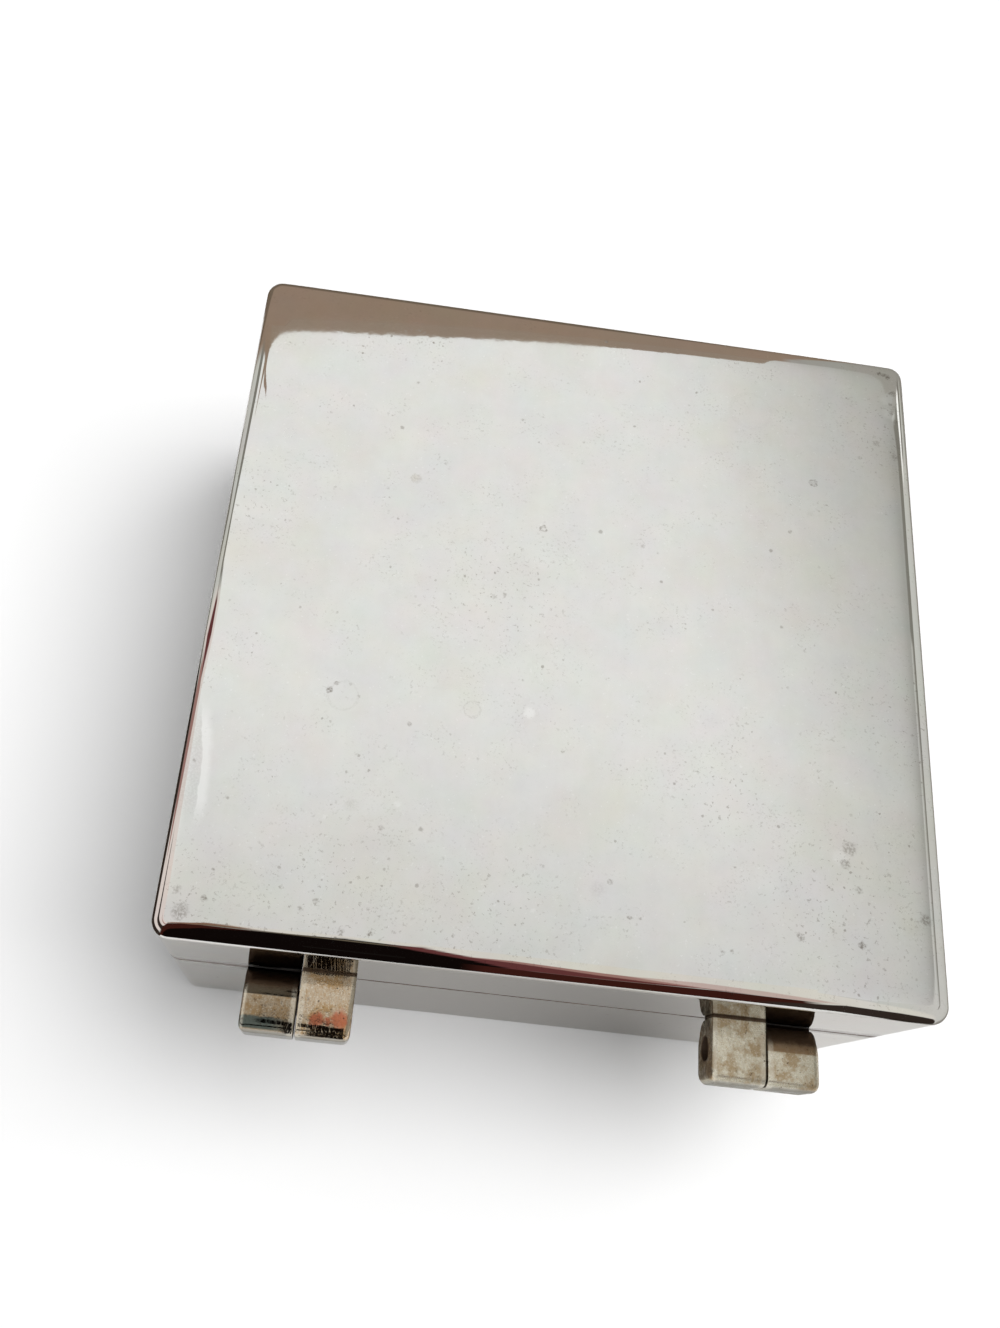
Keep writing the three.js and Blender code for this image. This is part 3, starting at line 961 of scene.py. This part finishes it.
def emission(colour, strength=1.0):
    return addNode("ShaderNodeEmission", {"Color": colour, "Strength": strength}).outputs[0]


def makeFloor():
    material = newMaterial("paleFloor")
    reach, tone, white = studio["floorHalf"], studio["floorTone"], (1, 1, 1, 1)
    matte = addNode("ShaderNodeBsdfDiffuse", {"Color": (tone, tone, tone, 1)}).outputs[0]
    seen = highest(seenRays())
    lifted = addNode("ShaderNodeAddShader", {0: matte, 1: emission(white, studio["floorLift"])}).outputs[0]
    far = carry(distanceFrom(millimetres(), 0, 0), *studio["farFloor"])
    setSurface(mixShaders(seen, matte, mixShaders(far, lifted, emission(white))))
    stageMesh("floor", levelCorners((-reach, reach), (-reach, reach), 0), [(0, 1, 2, 3)], material)


# The sky where metal reflects it. It falls off towards -X and overhead. The two slopes are how far a direction
# leans from upright along X and along Y.
sky = {
    "bright": 0.965,
    "dim": 0.44,
    "brightTint": (1.0, 1.0, 0.985),
    "dimTint": (1.0, 0.995, 0.935),
    "sideways": (-0.68, -0.27),
    "sidewaysTurn": 0.2,  # the slope across turns this much with the other slope
    "turnedAbout": 0.5,
    "lowest": 0.02,  # no direction counts as nearer to the horizon
    "overhead": (-0.42, -0.10),
    "overheadTone": 0.83,
}


def makeSky():
    world = bpy.data.worlds.new("paleSky")
    bpy.context.scene.world = world
    startTree(world)
    x, y, z = partsOf(addNode("ShaderNodeTexCoord").outputs["Generated"])
    upward = calculate("MAXIMUM", z, sky["lowest"])
    overhead = calculate("DIVIDE", y, upward)
    turned = times(calculate("ADD", overhead, sky["turnedAbout"]), sky["sidewaysTurn"])
    sideways = calculate("ADD", calculate("DIVIDE", x, upward), turned)
    tint = blendColour(carry(sideways, *sky["sideways"]), sky["dimTint"], sky["brightTint"])
    tone = carry(sideways, *sky["sideways"], sky["dim"], sky["bright"])
    tone = times(tone, carry(overhead, *sky["overhead"], 1.0, sky["overheadTone"]))
    camera, reflected = seenRays()
    plain = carry(camera, 0, 1, studio["ambient"], 1.0, smooth=False)
    level = addNode("ShaderNodeMix", {"Factor": reflected, "A": plain, "B": tone}, data_type="FLOAT")
    tint = blendColour(reflected, (1, 1, 1), tint)
    back = addNode("ShaderNodeBackground", {"Color": tint, "Strength": level.outputs["Result"]})
    addNode("ShaderNodeOutputWorld", {"Surface": back.outputs[0]})


def makeLamp():
    light = bpy.data.lights.new("softLamp", "AREA")
    light.size = studio["lampSize"] * mm
    light.energy = studio["lampPower"]
    lamp = addObject("softLamp", light)
    lamp.location = Vector(studio["lampPlace"]) * mm
    lamp.rotation_euler = (-lamp.location).to_track_quat("-Z", "Y").to_euler()
    lamp.visible_glossy = False


# A glowing tone that shows only to rays that have come a distance within reach, and else is clear. The tone
# is one colour, or the card's own colour attribute, whose fourth value is how solid the tone is. A card with
# the attribute "expected" counts the distance from that.
def cardMaterial(name, reach, tone=None, fromExpected=False):
    material = newMaterial(name)
    length = times(addNode("ShaderNodeLightPath").outputs["Ray Length"], 1 / mm)
    if fromExpected:
        expected = addNode("ShaderNodeAttribute", attribute_name="expected").outputs["Fac"]
        length = calculate("SUBTRACT", length, expected)
    shown = times(calculate("GREATER_THAN", length, reach[0]), calculate("LESS_THAN", length, reach[1]))
    if tone is None:
        own = addNode("ShaderNodeAttribute", attribute_name="tone").outputs
        colour, shown = own["Color"], times(shown, own["Alpha"])
    else:
        colour = (*tone, 1)
    clear = addNode("ShaderNodeBsdfTransparent").outputs[0]
    setSurface(mixShaders(shown, clear, emission(colour)))
    return material


# How far light has come from the metal to each point of a card, on its way to the camera
def expectAt(mesh, lengths):
    mesh.attributes.new("expected", "FLOAT", "POINT").data.foreach_set("value", np.ravel(lengths))


lidTop = cadHigh[2] / mm

# The camera, as it stood in the photograph
view = {
    "place": (27.78, 72.00, 144.94),  # the height is above the lid's top
    "lens": 31.95,
    "heading": 172.98,
    "tilt": 23.30,
    "roll": 13.61,
    "shift": (0.0561, -0.0040),
}
eye = np.array(view["place"]) + (0, 0, lidTop)

# Heights of the cards are above the lid's top. Reaches are in millimetres from what reflects them.
cards = {
    "brown": (0.345, 0.268, 0.208),
    "brownTurn": 173.5,  # degrees from +Y towards +X
    "brownDistance": 80.0,  # from the middle of the front wall
    "brownLow": 50.0,
    "brownTop": [(-78.0, 106.2), (80.0, 109.0), (125.0, 109.8)],  # along it, and the height there
    "brownReach": (-5.0, 24.0),
    "dark": (0.012, 0.009, 0.009),
    "overheadX": (14.0, 56.0),
    "overheadY": (42.0, 110.0),
    "overheadHeight": 147.0,
    "overheadReach": (160.0, 171.0),  # only the hinge blocks are that far below
}


# The brown card stands in front of the box, a little turned. It is made of two lengths.
def makeBrownCard():
    turn = math.radians(cards["brownTurn"])
    out = np.array([math.sin(turn), math.cos(turn)])
    across = np.array([-out[1], out[0]])
    middle = np.array([0, cadLow[1] / mm]) + out * cards["brownDistance"]
    low, top = cards["brownLow"], cards["brownTop"]
    tone = cardMaterial("brownCardTone", cards["brownReach"], cards["brown"], True)
    for name, (start, startHigh), (end, endHigh) in zip(("brownCard", "brownCardEnd"), top, top[1:]):
        corners = [(*(middle + across * side), lidTop + height)
                   for side, height in ((start, low), (end, low), (end, endHigh), (start, startHigh))]
        card = makeCard(name, corners, [(0, 1, 2, 3)], tone)
        below = np.array([(x, y, 2 * lidTop - z) for x, y, z in corners])
        whole = np.linalg.norm(below - eye, axis=1)
        expectAt(card.data, whole * (lidTop - below[:, 2]) / (eye[2] - below[:, 2]))


# The dark card over the hinges
def makeOverheadCard():
    corners = levelCorners(cards["overheadX"], cards["overheadY"], lidTop + cards["overheadHeight"])
    makeCard("overheadCard", corners, [(0, 1, 2, 3)],
             cardMaterial("overheadCardTone", cards["overheadReach"], cards["dark"]))


# What the lid's round top edge shows: a round collar off that edge on all sides, painted with a few bands
collar = {
    "radius": 40.0,
    "elevations": (-60, 93),  # degrees
    "rows": 307,
    "cornerSteps": 61,
    "sideSteps": 49,
    "mirror": 1.2,  # how far out and up from the edge's centre line the metal is that shows the collar
    "eyeAcross": 60.0,  # how far the camera is from an edge, seen from above
    "lengthBelow": 1.4,  # no length is further than this below the radius
    "farCorner": (50, -50),
    "farCornerHalf": 40,
    "farCornerPast": -48,
    "farCornerMore": 1.6,  # light comes this much further there
    "reach": (-1.7, 2.2),
    "metal": 0.745,  # the tones are those seen in the metal, which gives back this much
    "soft": 3.0,  # degrees over which a band fades in along its sides
    "ends": 4.0,  # millimetres over which it fades in at its ends
}

collarTones = {
    "silver": (190, 190, 186),
    "white": (250, 250, 250),
    "pale": (205, 202, 195),
    "rosy": (210, 200, 196),
    "lightRose": (184, 164, 158),
    "rose": (148, 112, 106),
    "maroon": (92, 50, 50),
    "umber": (54, 24, 19),
    "black": (12, 7, 6),
    "olive": (94, 86, 72),
    "tan": (124, 94, 78),
    "dim": (46, 38, 34),
    "grey": (150, 148, 143),
    "shade": (120, 118, 111),
    "brown": (138, 120, 105),
    "darkBrown": (110, 96, 83),
}

# A run follows the collar: a place on it seen from above, and the lowest and highest elevation there in degrees.
# Outside these the collar is clear.
collarLimits = [
    (70.0, 81.4, -36, 72), (60.0, 86.2, -36, 87), (48.0, 88.0, -37, 90), (26.0, 88.0, -38, 93),
    (-52.6, 87.7, -26, 93), (-67.1, 83.1, -52, 93), (-76.0, 76.0, -60, 78), (-88.0, 38.4, -45, 58),
    (-87.4, -54.6, -45, 57), (-74.0, -78.0, -45, 53), (-62.9, -85.1, -60, 47), (-5.9, -88.0, -60, 52),
    (52.3, -87.8, -60, 60), (78.9, -73.4, -52, 76), (82.6, -68.0, -52, 52), (84.6, -64.1, -52, 32),
    (87.3, -55.0, -52, 34), (88.0, -40.3, -52, 27), (88.0, -30.2, -52, 18), (88.0, -20.1, -52, 18),
    (88.0, -12.6, -52, 42), (88.0, -6.2, -52, 42), (88.0, 3.2, -52, 26), (88.0, 21.5, -52, 42),
    (88.0, 36.0, -52, 55), (76.3, 76.3, -60, 60),
]

# The bands in painting order, each with one tone. They run from the near left corner along the hinges' side, and
# on round the box.
collarBands = [
    # all along the top of the hinges' side, and all over its -X end
    ("pale", [(75, 77, 40, 100), (60, 86, 40, 100), (-60, 86, -60, 100), (-70, 81, -60, 100)]),
    # the -X side
    ("grey", [(-72, 80, -90, -20), (-88, 38, -90, -25), (-87, -55, -90, -10), (-70, -81, -90, 20)]),
    ("shade", [(-74, 78, -90, -52), (-88, 38, -90, -42), (-87, -55, -90, -38), (-70, -81, -90, -30)]),
    ("shade", [(-82, 69, 50, 52), (-88, 38, 49, 55), (-88, -18, 47, 56), (-86, -61, 44, 90), (-78, -75, 40, 90)]),
    ("shade", [(-87, -55, 18, 19), (-85, -62, 16, 48), (-80, -72, 10, 50), (-76, -76, 10, 50)]),
    ("white", [(-88, -50, 36, 37), (-85.6, -60.9, 29, 41), (-80.8, -70.9, 27, 43), (-77, -75, 36, 37)]),
    # the far side
    ("grey", [(-81, -71, -90, 20), (-74, -78, -90, 90), (-20, -88, -90, 90)]),
    ("brown", [(-62, -85.5, -90, -50), (-44, -88, -90, 44), (-28, -88, -90, 90), (52, -88, -90, 90),
               (84, -65, -90, 90), (86, -60, -90, -20)]),
    ("darkBrown", [(-40, -88, -32, -20), (-6, -88, -32, 16), (52, -88, -40, 16), (79, -73, -90, 10),
                   (85, -63, -90, -20)]),
    # the +X side
    ("shade", [(83, -66, 10, 90), (87.3, -55, 11, 90), (88, -40, 8, 90), (88, -20, 4, 90), (88, -14, 10, 30)]),
    ("shade", [(83, -66, -90, -25), (87.3, -55, -90, -38), (88, -40, -90, -34), (88, -30, -90, -20),
               (88, -20, -90, -32), (88, -6, -90, -34), (88, 4, -90, -20)]),
    ("rosy", [(88, -17, -10, 60), (88, -6, -31, 60), (88, 3, 12, 60), (88, 22, -12, 60), (88, 36, -16, 90),
              (76, 76, -16, 90), (69, 82, 60, 90)]),
    ("maroon", [(88, -17, 12, 13), (88, -12.6, 7, 24), (88, -6.2, -10, 26), (88, 0, 0, 12), (88, 5, 6, 7)]),
    ("rose", [(88, -5, -20, -8), (88, 3.2, -18, 13), (88, 21.5, -12, 8), (88, 34, -2, 0)]),
    ("dim", [(88, -4, -90, -40), (88, 3.2, -90, -19), (88, 21.5, -90, -12), (88, 36, -90, -16),
             (76.3, 76.3, -90, -15), (68, 82.5, -90, -30)]),
    ("dim", [(88, 26, 18, 19), (88, 36, 16, 23), (88, 48, 12, 26), (76.3, 76.3, 6, 30), (69, 82, 0, 44)]),
    ("rose", [(88, 42, 46, 47), (76.3, 76.3, 44, 50), (71, 80.7, 52, 60)]),
    # the hinges' side
    ("tan", [(75, 77.5, 62, 90), (60, 86.2, 70, 90), (48, 88, 76, 93), (38, 88, 84, 86)]),
    ("umber", [(75, 77.5, -90, 34), (70, 81.4, -90, 60), (60, 86.2, -90, 71), (48, 88, -90, 77), (36, 88, -90, 78),
               (24, 88, -90, -60)]),
    ("black", [(68, 82.5, -90, -10), (48, 88, -90, 58), (40, 88, -90, 76), (26, 88, -90, 90), (14, 88, -90, 86),
               (6, 88, -90, 56), (-3, 88, -90, 24), (-12, 88, -90, -30)]),
    ("umber", [(8, 88, -90, 20), (1, 88, -90, 20), (-14, 88, -90, 20), (-32, 88, -90, 31), (-50, 88, -90, 28)]),
    ("dim", [(-38, 88, -90, -10), (-53, 87.7, -90, 28), (-61, 86, -90, 17), (-67, 83, -90, 0), (-75, 77, -90, -60)]),
    ("olive", [(52, 87.8, 80, 82), (41, 88, 78, 82), (26, 88, 78, 84), (17, 88, 78, 83), (10, 88, 80, 81)]),
    ("maroon", [(20, 88, 84, 86), (14, 88, 66, 90), (7, 88, 46, 66), (1, 88, 20, 64), (-9, 88, 19, 58),
                (-14, 88, 20, 54), (-22, 88, 25, 52), (-31, 88, 33, 42), (-40, 88, 30, 31)]),
    ("rose", [(8, 88, 64, 66), (1, 88, 60, 72), (-9, 88, 50, 64), (-14, 88, 42, 59), (-22, 88, 36, 57),
              (-31, 88, 36, 50), (-38, 88, 33, 40)]),
    ("lightRose", [(-18, 88, 56, 60), (-31, 88, 38, 68), (-40, 88, 30, 60), (-53, 87.7, 30, 36)]),
]


# A dark strip bent round the outside of the lid's +X block, seen in it alone
blockCard = {
    "centre": (57.5, 33.0),
    "radius": 30.0,
    "elevations": (-15.0, 93.0),
    "span": (17.0, 31.9),
    "reach": (28.4, 30.6),
    "tone": (0.010, 0.008, 0.007),
}


def makeBlockCard():
    angle = np.radians(np.linspace(*blockCard["elevations"], 37))
    (centreY, centreZ), radius = blockCard["centre"], blockCard["radius"]
    y, z = centreY + radius * np.cos(angle), centreZ + radius * np.sin(angle)
    rows = [np.column_stack([np.full(len(angle), x), y, z]) for x in blockCard["span"]]
    faces = np.arange(len(angle) - 1)[:, None] + [0, 1, len(angle) + 1, len(angle)]
    makeCard("blockCard", np.concatenate(rows), faces.tolist(),
             cardMaterial("blockCardTone", blockCard["reach"], blockCard["tone"]))


# The metal's tone as seen on a screen, undone to the light that it reflects
def reflectedLight(screen):
    value = np.asarray(screen) / 255
    return np.where(value < 0.04045, value / 12.92, ((value + 0.055) / 1.055) ** 2.4) / collar["metal"]


# How far light has come from the edge to points off it, on its way to the camera. Along a straight side a ray
# leans as much before the edge as after it, and off a corner it comes straight out.
def lengthFromEdge(points, half, height):
    lengths = []
    for along, across in ((0, 1), (1, 0)):
        side = half * np.where(points[..., across] < 0, -1, 1)
        toEye = math.hypot(eye[2] - height, collar["eyeAcross"])
        toPoint = np.hypot(points[..., across] - side, points[..., 2] - height)
        lean = (points[..., along] - eye[along]) / (toEye + toPoint)
        outside = np.abs(points[..., across]) - half > np.abs(points[..., along]) - half
        lengths.append(np.where(outside, toPoint * np.hypot(1, lean), 0))
    nearFarCorner = np.all(np.abs(points[..., :2] - collar["farCorner"]) < collar["farCornerHalf"], axis=-1)
    more = collar["farCornerMore"] * (nearFarCorner & (points[..., 1] < collar["farCornerPast"]))
    return np.maximum(np.maximum(*lengths), collar["radius"] - collar["lengthBelow"]) + more


# The collar's shape: out = edge line + radius * cos(elevation), up = edge height + radius * sin(elevation).
def makeCollar():
    edge = shells["topEdgeRadius"]
    half, height = nodeBox("lid_shell")[1][0] - edge, lidTop - edge
    radius = collar["radius"]
    elevation = np.linspace(*collar["elevations"], collar["rows"])
    bend, side = np.linspace(0, 1, collar["cornerSteps"]), np.linspace(0, 1, collar["sideSteps"])[1:-1]
    outward = np.concatenate([k + np.append(bend, np.ones_like(side)) for k in range(4)]) * quarter
    out = np.stack([np.cos(outward), np.sin(outward)], axis=1)
    corners = half * np.array([(1, 1), (-1, 1), (-1, -1), (1, -1)])
    way = np.append(np.zeros_like(bend), side)[:, None]
    base = np.concatenate([corners[k] + way * (corners[(k + 1) % 4] - corners[k]) for k in range(4)])
    flat = base + out * radius
    distance = np.concatenate([[0], np.cumsum(np.linalg.norm(np.diff(flat, axis=0, append=flat[:1]), axis=1))])
    around, distance = distance[-1], distance[:-1]
    angle = np.radians(elevation)[:, None, None]
    plan = base + out * radius * np.cos(angle)
    up = np.broadcast_to(height + radius * np.sin(angle), (*plan.shape[:2], 1))
    rings = np.concatenate([plan, up], axis=-1)
    level = elevation[:, None]

    def whereIs(x, y):
        return distance[np.argmin(np.linalg.norm(flat - (x, y), axis=1))]

    tone = np.tile(reflectedLight(collarTones["silver"]), (*plan.shape[:2], 1))
    for name, run in collarBands:
        start = whereIs(*run[0][:2])
        marks = [(whereIs(x, y) - start) % around for x, y, _, _ in run]
        along = (distance - start) % around
        low, high = (np.interp(along, marks, [stop[k] for stop in run]) for k in (2, 3))
        cover = np.clip(np.minimum(along, marks[-1] - along) / collar["ends"], 0, 1)
        for inside in (high - level, level - low):
            cover = cover * np.clip(inside / collar["soft"] + 0.5, 0, 1)
        tone += cover[..., None] * (reflectedLight(collarTones[name]) - tone)
    marks = [whereIs(x, y) for x, y, _, _ in collarLimits]
    lowest, topmost = (np.interp(distance, marks, [stop[k] for stop in collarLimits], period=around) for k in (2, 3))
    solid = np.clip(topmost - level + 0.5, 0, 1) * np.clip(level - lowest + 0.5, 0, 1)
    grid = np.concatenate([tone, solid[..., None]], axis=-1)
    mesh = makeCard("collarCard", rings.reshape(-1, 3), ringQuads(*rings.shape[:2]).tolist(),
                    cardMaterial("collarCardTone", collar["reach"], None, True)).data
    mesh.color_attributes.new("tone", "FLOAT_COLOR", "POINT").data.foreach_set("color", grid.ravel())
    expectAt(mesh, lengthFromEdge(rings, half + collar["mirror"], height + collar["mirror"]))


makeFloor()
makeSky()
makeLamp()
makeBrownCard()
makeOverheadCard()
makeCollar()
makeBlockCard()
print("studio made")


def makeCamera():
    camera = addObject("camera", bpy.data.cameras.new("camera"))
    heading, tilt, roll = (Matrix.Rotation(math.radians(view[key]), 4, axis)
                           for key, axis in (("heading", "Z"), ("tilt", "X"), ("roll", "Z")))
    camera.matrix_world = Matrix.Translation(Vector(eye) * mm) @ heading @ tilt @ roll
    camera.data.sensor_width = 36.0
    camera.data.lens = view["lens"]
    camera.data.shift_x, camera.data.shift_y = view["shift"]
    camera.data.clip_start, camera.data.clip_end = 0.01, 50.0
    bpy.context.scene.camera = camera


makeCamera()
bpy.context.scene.view_settings.view_transform = "Standard"
